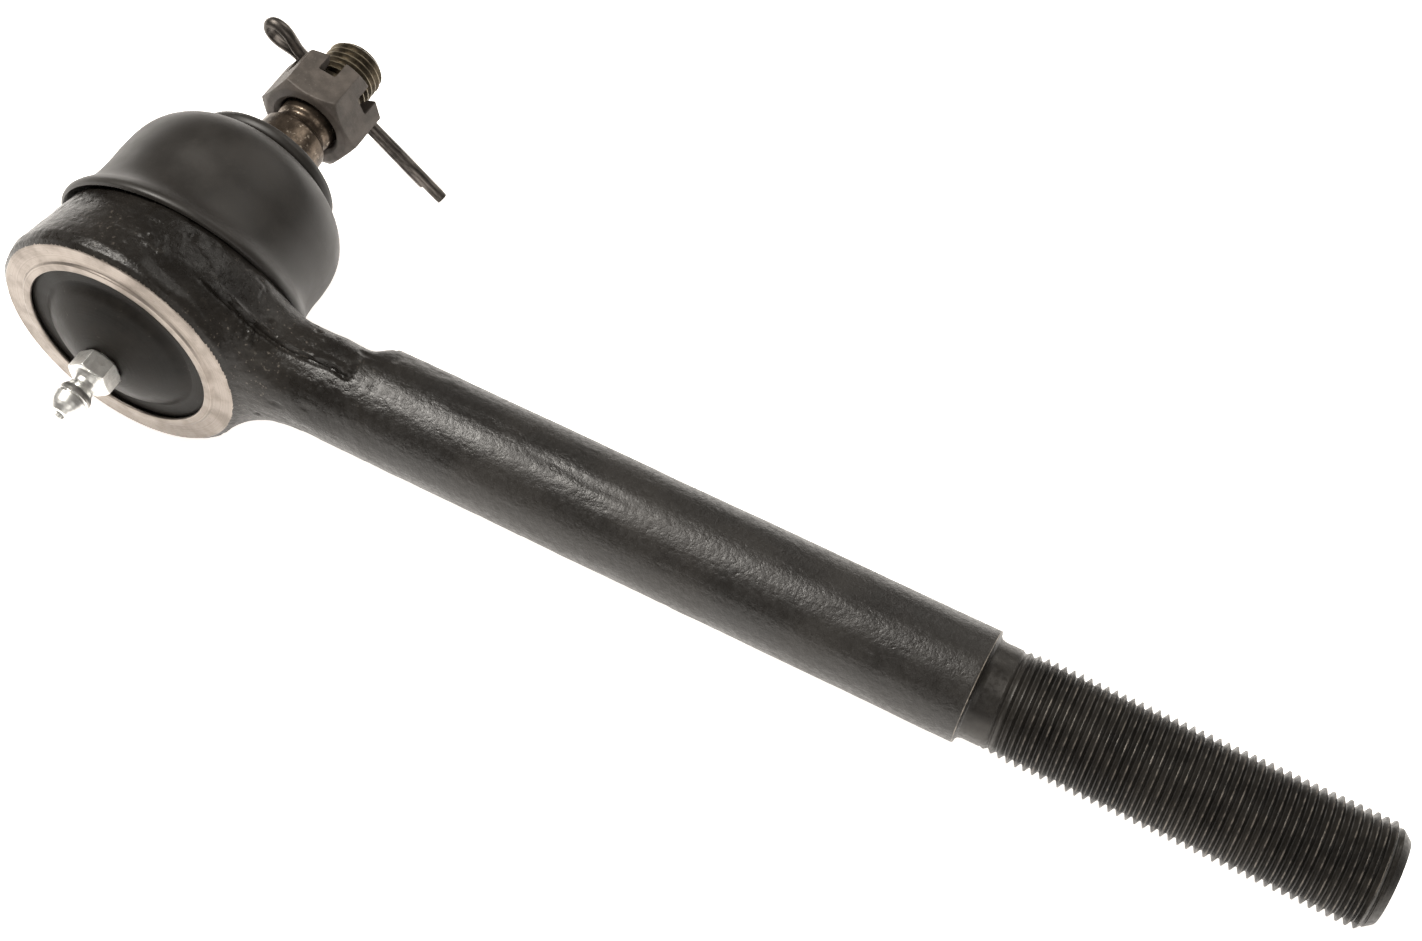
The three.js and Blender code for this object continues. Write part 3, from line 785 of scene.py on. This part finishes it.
def forged_skin():
    """(vertices, faces) of the forged skin, open at the ring, the mouth and the shank's turned end."""
    xs = np.concatenate([np.arange(-24.2, 46, 0.42), np.arange(46, SHANK_SEAM_X + 0.4, 1.2)])
    ys = np.linspace(RING_SEAM_Y, MOUTH_SEAM_Y, 61)
    zs = np.arange(-24.1, 24.2, 0.38)
    skin, faces = contoured(forged_field, (xs, ys, zs))
    for _ in range(2):
        skin = skin - slope(forged_field, skin) * forged_field(skin)[:, None] * 0.9
    normal = slope(forged_field, skin, 0.15)
    return skin + normal * forging_relief(skin)[:, None], faces


def turned_faces():
    """The turned ring, cover pocket, bearing bore and mouth, as one strip from seam to seam."""
    pocket = rounded([(21.92, RING_SEAM_Y), (21.7, -11.15), (18.5, -11.17), (18.25, -11.68), (16.9, -11.74),
                      (16.75, -11.3), (17.1, -10.95), (17.5, -10.85), (17.5, -8.9), (12.9, -8.9),
                      (12.9, -0.2)], 0.28)
    bore = arc(12.9, 4, 44, 9)
    mouth = rounded([(9.35, 9.3), (10.4, 11.3), (14.05, 11.35), (16.4, 10.65), (17.35, 9.97)], 0.4)
    return lathe(np.vstack([pocket, bore, mouth]), RING_SEGS)


def shank_end():
    """The last of the shank, its shoulder and the relief groove before the thread."""
    outline = dense([(SHANK_R, SHANK_SEAM_X + 0.9), (SHANK_R, SHANK_END - 0.55)], 0.8).tolist()
    outline += [(SHANK_R, SHANK_END - 0.14), (SHANK_R - 0.04, SHANK_END - 0.05), (SHANK_R - 0.14, SHANK_END)]
    outline += rounded([(RELIEF_R + 0.75, SHANK_END + 0.04), (RELIEF_R + 0.22, SHANK_END + 0.35),
                        (RELIEF_R, SHANK_END + 1.1), (RELIEF_R, ROD_THREAD["start"])], 0.5).tolist()
    return lathe(np.array(outline), SHANK_SEGS, "x")


def rod_limit(x):
    """The largest radius of the shank's thread at x: a runout, the full crest and a chamfered tip."""
    places = [ROD_THREAD["start"], 154.8, 159.6, 160.2, 215.2, 216.0, 217.6, ROD_THREAD["end"]]
    return np.interp(x, places, [RELIEF_R, RELIEF_R + 0.02, 8.72, 9.0, 9.0, 8.4, 7.2, ROD_TIP_R])


def angle_round_stud(p):
    return math.atan2(p[2], p[0])


def angle_round_shank(p):
    return math.atan2(p[2], p[1])


def housing_shape():
    """The whole housing as one closed shell: the forged skin zipped to the turned faces and threaded end."""
    skin, faces = forged_skin()
    ring = turned_faces()
    end = shank_end()
    rod = thread(ROD_THREAD, SHANK_SEGS, "x", rod_limit)
    cap = lathe([(r, ROD_THREAD["end"]) for r in (ROD_TIP_R, 5, 2.4, 0)], SHANK_SEGS, "x")
    vertices, all_faces = joined((skin, faces), ring, end, rod, cap)
    loose = [(i, skin[i]) for i in open_ends(faces)]
    bottom = [(i, p) for i, p in loose if p[1] < -10]
    mouth = [(i, p) for i, p in loose if p[1] > 9 and p[0] < 40]
    shank = [(i, p) for i, p in loose if p[0] > 145]
    base = len(skin)
    last = len(ring[0]) - RING_SEGS
    first_ring = [(base + j, ring[0][j]) for j in range(RING_SEGS)]
    last_ring = [(base + last + j, ring[0][last + j]) for j in range(RING_SEGS)]
    end_ring = [(base + len(ring[0]) + j, end[0][j]) for j in range(SHANK_SEGS)]
    all_faces += zipped(bottom, first_ring, angle_round_stud)
    all_faces += zipped(mouth, last_ring, angle_round_stud)
    all_faces += zipped(shank, end_ring, angle_round_shank)
    return vertices, all_faces


def housing_finish(middles):
    """0 forged skin, 1 turned bright faces, 2 blackened thread."""
    r = np.hypot(middles[:, 0], middles[:, 2])
    y, x = middles[:, 1], middles[:, 0]
    ring = (y < -10.97) & (r < 22.02) & (x < EYE_REACH)
    inner = (r < 17.7) & (y < 10.9) & (y > -11.5) & (x < EYE_REACH)
    inner &= outline_distance(EYE_OUTLINE, r, y) < -0.9
    kind = np.where(ring | inner, 1, 0)
    return np.where(x > SHANK_END + 0.4, 2, kind)


def make_housing(paint, bright, black):
    add_piece("forged_housing", housing_shape(), "housing_body", [paint, bright, black], ["housing"],
              sharp=40, pick=housing_finish)


# ---- stud, nut and pin ----
STUD_TIP_R = 4.55


def stud_limit(y):
    """The largest radius of the stud's thread at height y."""
    places = [STUD_THREAD["start"], 55.1, 55.6, 62.2, 62.8, STUD_THREAD["end"]]
    return np.interp(y, places, [5.4, 5.4, 5.65, 5.65, 5.2, STUD_TIP_R])


def stud_shape():
    """Ball, neck, taper, relief groove and threaded tip, as one closed shell."""
    outline = [(0, -9.9)] + arc(BALL_R, -74, 59.7, 28)
    taper = rounded([(5.2, 9.1), (5.2, 15.2), (7.35, 17.1), (7.6, 18.3), (6.3, 41.6), (5.85, 42.2),
                     (4.7, 42.7), (4.7, 44.1), (5.35, 44.8), (5.4, STUD_THREAD["start"])], 0.35)
    body = lathe(np.array(outline + dense(taper, 0.9).tolist()[1:]), STUD_SEGS)
    # the thread's ring starts a quarter turn from the lathe's, so STUD_SEGS is a multiple of four
    rod = thread(STUD_THREAD, STUD_SEGS, "y", stud_limit)
    cap = lathe([(r, STUD_THREAD["end"]) for r in (STUD_TIP_R, 3.2, 1.5, 0)], STUD_SEGS)
    return joined(body, rod, cap)


def turned_about_stud(vertices, degrees):
    """Points turned about the stud axis, from +X towards +Z."""
    a = math.radians(degrees)
    v = np.asarray(vertices, float).copy()
    x, z = v[:, 0].copy(), v[:, 2].copy()
    v[:, 0], v[:, 2] = x * math.cos(a) - z * math.sin(a), x * math.sin(a) + z * math.cos(a)
    return v


def cut(obj, shape, name):
    """Takes a closed shape out of a piece."""
    tool = add_piece(name, shape, None, [])
    modifier = obj.modifiers.new("cut", "BOOLEAN")
    modifier.object, modifier.operation, modifier.solver = tool, "DIFFERENCE", "EXACT"
    graph = bpy.context.evaluated_depsgraph_get()
    made = bpy.data.meshes.new_from_object(obj.evaluated_get(graph), depsgraph=graph)
    obj.modifiers.clear()
    old, obj.data = obj.data, made
    bpy.data.meshes.remove(old)
    bpy.data.objects.remove(tool)
    made.name = obj.name
    made.shade_smooth()
    made.set_sharp_from_angle(angle=math.radians(38))


def make_stud(steel, thread_steel):
    stud = add_piece("tapered_ball_stud", stud_shape(), "stud_body", [steel, thread_steel], ["ball_stud"],
                     pick=lambda middles: (middles[:, 1] > THREAD_STEEL_Y).astype(int))
    hole_r = PIN["hole"] - 0.1
    v, f = lathe([(0, -9), (hole_r, -9), (hole_r, 9), (0, 9)], 24, "x")
    v = turned_about_stud(v, PIN["turn"]) + np.array([0, PIN["y"], 0])
    cut(stud, (v, f), "pin_hole_tool")


def nut_field(p):
    """Castle nut about the stud axis, one pair of flats across its own x."""
    x, y, z = p.T
    r = np.hypot(x, z)
    flats = np.max([np.abs(x * math.cos(a) + z * math.sin(a)) for a in np.radians([0, 60, 120])], axis=0)
    above, below = y - NUT["low"], NUT["high"] - y
    body = -smooth_min(-(flats - NUT["flats"] / 2), np.minimum(above, below), 0.14)
    low_cone = (r - NUT["low_corner"] - above * 1.6) * 0.53
    high_cone = (r - NUT["high_corner"] - below * 1.6) * 0.53
    body = -smooth_min(-body, -np.maximum(low_cone, high_cone), 0.12)
    turn = np.arctan2(z, x) / (2 * np.pi)
    ridge = np.abs(((y / STUD_THREAD["pitch"] + turn) % 1) * 2 - 1)
    bore = NUT["bore"] + 0.12 - 0.24 * ridge - r
    mouth = np.maximum(NUT["low_mouth"] - above, NUT["high_mouth"] - below) - r
    body = np.maximum(body, np.maximum(bore, mouth))
    for a in np.radians([0, 60, 120]):
        across = np.abs(-x * math.sin(a) + z * math.cos(a)) - NUT["slot"] / 2
        slot = -smooth_min(-across, -(NUT["slot_low"] - y), 0.5)
        body = -smooth_min(-body, slot, 0.1)
    return body


def make_nut(coat):
    across = np.linspace(-10.5, 10.5, 97)
    v, f = contoured(nut_field, (across, np.linspace(NUT["low"] - 0.35, NUT["high"] + 0.35, 50), across))
    v = v + slope(nut_field, v, 0.1) * (0.03 * noise(v, 1.3, 21) + 0.03 * noise(v, 3.4, 22))[:, None]
    add_piece("slotted_castle_nut", (turned_about_stud(v, NUT["turn"]), f), "stud_body", coat, ["castle_nut"],
              sharp=42)


def make_pin(wire):
    """Half-round wire doubled back on itself: a long leg, a teardrop eye and a short leg."""
    gap = PIN["slit"]
    eye = spline([(-8.6, gap), (-10.0, 0.24), (-11.4, 0.74), (-12.8, 1.22), (-14.1, 1.38), (-15.2, 1.12),
                  (-15.9, 0.6), (-16.15, 0)], 5)
    leg = dense([(PIN["long"], gap), (9, gap), (-8.6, gap)], 1.2)
    path = np.vstack([leg[:-1], eye])
    back = path[::-1][1:] * [1, -1]
    back[:, 0] = np.minimum(back[:, 0], PIN["short"])
    path = np.vstack([path, back])
    keep = np.ones(len(path), bool)
    keep[1:] = np.linalg.norm(np.diff(path, axis=0), axis=1) > 1e-6
    path = path[keep]
    section = [(math.cos(a), math.sin(a)) for a in np.radians(np.linspace(4, 176, 13))]
    section += [(-0.96, 0.0), (-0.5, 0.0), (0.0, 0.0), (0.5, 0.0), (0.96, 0.0)]
    rows = []
    for i, (s, t) in enumerate(path):
        a, b = path[max(i - 1, 0)], path[min(i + 1, len(path) - 1)]
        d = (b - a) / np.linalg.norm(b - a)
        out = np.array([d[1], -d[0]])
        end = min(i, len(path) - 1 - i)
        size = PIN["r"] * (0.93 if end == 0 else 1.0)
        rows += [(s + out[0] * up * size, t + out[1] * up * size, side * size) for side, up in section]
    n = len(section)
    faces = strip_faces(len(path), n)
    faces += [tuple(range(n)), tuple(range((len(path) - 1) * n, len(path) * n))[::-1]]
    v = np.array(rows)
    v = v + np.stack([0 * v[:, 0], 0.03 * noise(v, 4.0, 31), 0.03 * noise(v, 4.0, 32)], 1)
    c, d = math.cos(math.radians(PIN["roll"])), math.sin(math.radians(PIN["roll"]))
    v = np.stack([v[:, 0], v[:, 1] * c - v[:, 2] * d, v[:, 1] * d + v[:, 2] * c], 1)
    v = turned_about_stud(v, PIN["turn"]) + np.array([0, PIN["y"], 0])
    add_piece("split_cotter_pin", (v, faces), "stud_body", wire, ["cotter_pin"], sharp=45)


# ---- boot and its ring ----
def boot_points():
    """The boot's outside from lip to collar and its inside back again, [radius, y]."""
    outside = spline([(22.25, 6.75), (22.8, 7.15), (22.95, 8.0), (22.5, 9.0), (21.75, 10.1), (21.25, 11.3),
                      (20.95, 13.0), (20.8, 15.9), (20.85, 19.0), (20.6, 22.4), (19.8, 25.0), (18.3, 27.15),
                      (16.1, 28.75), (13.3, 29.5), (10.4, 29.8), (7.35, 29.85)], 5)
    inside = spline([(7.35, 28.35), (10.3, 28.15), (13.0, 27.8), (15.3, 26.9), (17.15, 25.4), (18.5, 23.3),
                     (19.1, 20.6), (19.2, 15.9), (19.4, 12.6), (20.15, 10.5), (21.15, 8.9), (21.6, 7.6),
                     (22.25, 6.75)], 5)
    return outside, inside


def leaned(v):
    """The soft lip's droop, as in the CAD."""
    share = step(0, 1, (BOOT_LEAN["from"] - v[:, 1]) / (BOOT_LEAN["from"] - BOOT_LEAN["to"]))
    v = v.copy()
    v[:, 1] += share * (BOOT_LEAN["x"] * v[:, 0] + BOOT_LEAN["z"] * v[:, 2])
    return v


def boot_halves():
    """The outlines of the skirt below the level ring and the crown above it."""
    outside, inside = boot_points()
    cut_out = np.array([np.interp(BOOT_SPLIT_Y, outside[10:60, 1], outside[10:60, 0]), BOOT_SPLIT_Y])
    order = np.argsort(inside[:, 1])
    cut_in = np.array([np.interp(BOOT_SPLIT_Y, inside[order, 1], inside[order, 0]), BOOT_SPLIT_Y])
    low_out = outside[outside[:, 1] < BOOT_SPLIT_Y - 0.1]
    high_out = outside[outside[:, 1] > BOOT_SPLIT_Y + 0.1]
    low_in = inside[inside[:, 1] < BOOT_SPLIT_Y - 0.1]
    high_in = inside[inside[:, 1] > BOOT_SPLIT_Y + 0.1]
    return np.vstack([low_out, cut_out, cut_in, low_in[:-1]]), np.vstack([cut_out, high_out, high_in, cut_in])


def make_boot(material):
    """The boot as two pieces that meet at a level ring."""
    skirt, crown = boot_halves()
    for name, part, ends, bend in (
        ("boot_skirt", skirt, ("housing_body", "boot_body"), SKIRT_BEND),
        ("boot_crown", crown, ("boot_body", "collar_body"), CROWN_BEND),
    ):
        v, faces = closed_lathe(part, BOOT_SEGS)
        v = leaned(v)
        soft = 0.05 * noise(v, 9.0, 41) + 0.018 * noise(v, 3.0, 42)
        away = v * np.array([1, 0, 1])
        v = v + away / np.linalg.norm(away, axis=1, keepdims=True) * soft[:, None]
        obj = add_piece(name, (v, faces), None, material, ["dust_boot"], sharp=60)
        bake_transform(obj)


def make_seal_ring(material):
    outline = rounded([(7.4, 30.35), (12.6, 30.35), (13.65, 30.85), (14.0, 31.8), (13.7, 32.8), (12.4, 33.45),
                       (8.65, 34.45), (7.25, 34.5), (7.3, 32.5), (7.4, 30.35)], 0.35)
    shape = closed_lathe(outline[:-1], INNER_SEGS)
    add_piece("boot_collar_ring", shape, "collar_body", material, ["boot_seal_ring"], sharp=60)


# ---- cover plate and grease fitting ----
def make_cover(material):
    outside = np.vstack([
        spline([(3.2, -15.57), (4.65, -15.35), (7.0, -14.63), (9.75, -13.52), (12.0, -12.4)], 5),
        rounded([(12.5, -12.1), (13.2, -11.45), (14.0, -10.9), (17.05, -10.85), (17.1, -9.45)], 0.25),
    ])
    inside = spline([(13.55, -9.45), (12.2, -10.7), (9.55, -12.0), (6.8, -13.2), (4.55, -13.9),
                     (3.2, -14.1)], 4)
    v, faces = closed_lathe(np.vstack([outside, inside]), COVER_SEGS)
    r = np.hypot(v[:, 0], v[:, 2])
    v[:, 1] += 0.05 * noise(v, 4.5, 51) * step(4, 8, r) * (1 - step(15.1, 16.6, r))
    add_piece("domed_cover_plate", (v, faces), "housing_body", material, ["cover_plate"], sharp=50)


FITTING_OUTLINE = [
    (0, -12.25), (2.8, -12.25), (2.8, -16.2), (3.1, -16.2), (3.1, -19.6), (2.7, -20.0), (2.25, -20.55),
    (2.1, -21.25), (2.3, -21.9), (2.85, -22.75), (3.1, -23.5), (3.17, -24.0), (3.0, -24.14), (3.0, -24.4),
    (3.14, -24.54), (2.95, -25.5), (2.65, -26.2), (2.3, -26.75), (1.7, -27.4), (1.55, -27.5), (0, -27.5),
]


def fitting_field(p):
    """Distance to the grease fitting: a turned body, its hexagon and the well round the check ball."""
    x, y, z = p.T
    r = np.hypot(x, z)
    turned = outline_distance(FITTING_OUTLINE, r, y)
    turns = np.radians([20, 80, 140])
    flats = np.max([np.abs(x * math.sin(a) + z * math.cos(a)) for a in turns], axis=0) - FITTING_HEX["half"]
    above, below = y - FITTING_HEX["low"], FITTING_HEX["high"] - y
    ends = -np.minimum(above, below)
    cone = (r - FITTING_HEX["corner"] - np.minimum(above, below) * 1.5) * 0.55
    nut = -smooth_min(-flats, -np.maximum(ends, cone), 0.12)
    body = smooth_min(turned, nut, 0.1)
    well = np.maximum(r - np.interp(y, [-27.5, -27.0, -26.7, -26.2], [1.0, 0.72, 0.75, 1.3]), y + 21.3)
    return np.maximum(body, -well)


def make_fitting(plate):
    side = np.linspace(-4.3, 4.3, 87)
    v, f = contoured(fitting_field, (side, np.linspace(-27.9, -12.0, 134), side))
    add_piece("zerk_grease_fitting", (v, f), "housing_body", plate, ["grease_fitting"], sharp=42)


def make_valve(ball_steel, spring_steel):
    a = np.radians(np.linspace(-90, 90, 17))
    outline = np.stack([VALVE["r"] * np.cos(a), VALVE["r"] * np.sin(a) + VALVE["y"]], 1)
    add_piece("check_ball", lathe(outline, 24), "valve_body", ball_steel, ["fitting_ball"])
    frame["nodes"]["fitting_spring"].data.materials.clear()
    frame["nodes"]["fitting_spring"].data.materials.append(spring_steel)


# ---- inner pieces ----
def make_bearings(polymer, sintered, spring_steel):
    cup = arc(BEARING_IN, 2, 36.7, 14) + arc(BEARING_OUT, 44.4, 1.6, 14)
    seat = [(3.6, -11.25)] + arc(BEARING_IN, -70.1, -3, 20)
    seat += [(BEARING_OUT, -0.55), (BEARING_OUT, -8.7), (11.6, -10.1), (9.5, -11.25)]
    disc = [(4.6, -12.95), (6.8, -12.2), (8.9, -11.55), (8.9, -11.95), (6.8, -12.65), (4.6, -13.35)]
    for name, ring, body, material, node in (
        ("upper_bearing_cup", cup, "housing_body", polymer, "upper_bearing"),
        ("lower_bearing_seat", seat, "seat_body", sintered, "lower_seat"),
        ("disc_preload_spring", disc, "housing_body", spring_steel, "preload_spring"),
    ):
        add_piece(name, closed_lathe(ring, INNER_SEGS), body, material, [node])


# ---- floor, light and camera ----
def make_floor():
    mesh = bpy.data.meshes.new("floor")
    half = 3.0
    corners = [(x * half, y * half, FLOOR_Z) for x, y in ((-1, -1), (1, -1), (1, 1), (-1, 1))]
    mesh.from_pydata(corners, [], [(0, 1, 2, 3)])
    mesh.materials.append(pale_floor())
    floor = bpy.data.objects.new("floor", mesh)
    bpy.context.scene.collection.objects.link(floor)


def add_light(name, at, aim, size, watts, colour):
    data = bpy.data.lights.new(name, "AREA")
    data.shape = "RECTANGLE"
    data.size, data.size_y = size
    data.energy, data.color = watts, colour
    light = bpy.data.objects.new(name, data)
    light.location = at
    light.rotation_euler = (Vector(aim) - Vector(at)).to_track_quat("-Z", "Y").to_euler()
    bpy.context.scene.collection.objects.link(light)


def make_lights():
    world = bpy.data.worlds.new("studio")
    bpy.context.scene.world = world
    world.use_nodes = True
    background = world.node_tree.nodes["Background"]
    background.inputs["Color"].default_value = (1.0, 0.94, 0.87, 1)
    background.inputs["Strength"].default_value = 0.17
    warm = (1, 0.96, 0.9)
    for name, at, size, watts in (
        ("key", (-0.55, -0.15, 1.05), (0.42, 0.42), 17),
        ("fill", (0.6, -0.9, 0.7), (0.9, 0.5), 2.5),
        ("back", (0.3, 0.9, 0.8), (0.8, 0.5), 3),
    ):
        add_light(name, at, (0, 0, 0.02), size, watts, warm)


def make_camera():
    data = bpy.data.cameras.new("camera")
    data.lens, data.sensor_width, data.sensor_fit = LENS_MM, 36.0, "HORIZONTAL"
    data.clip_start, data.clip_end = 0.01, 20
    camera = bpy.data.objects.new("camera", data)
    back = CAMERA_RIGHT.cross(CAMERA_UP).normalized()
    up = back.cross(CAMERA_RIGHT).normalized()
    right = up.cross(back)
    turn = Matrix((right, up, back)).transposed().to_4x4()
    camera.matrix_world = Matrix.Translation(BALL + CAMERA_AT) @ turn
    bpy.context.scene.collection.objects.link(camera)
    bpy.context.scene.camera = camera


def main():
    bpy.context.scene.view_settings.view_transform = "Standard"
    paint, bright, black = forged_black(), turned_ring(), black_thread()
    boot_rubber = rubber()
    spring_steel = plain_metal("spring_steel", (0.42, 0.43, 0.45), 0.34, 1.5)
    make_housing(paint, bright, black)
    make_stud(stud_steel(), stud_thread_steel())
    make_nut(phosphate())
    make_pin(pin_steel())
    make_boot(boot_rubber)
    make_seal_ring(boot_rubber)
    make_cover(cover_paint())
    make_fitting(zinc())
    make_valve(plain_metal("bearing_steel", (0.7, 0.7, 0.72), 0.16, 1.0), spring_steel)
    sintered = plain_metal("sintered_steel", (0.2, 0.19, 0.18), 0.5, 0.8)
    make_bearings(bearing_polymer(), sintered, spring_steel)
    make_floor()
    make_lights()
    make_camera()


main()
bpy.context.view_layer.update()
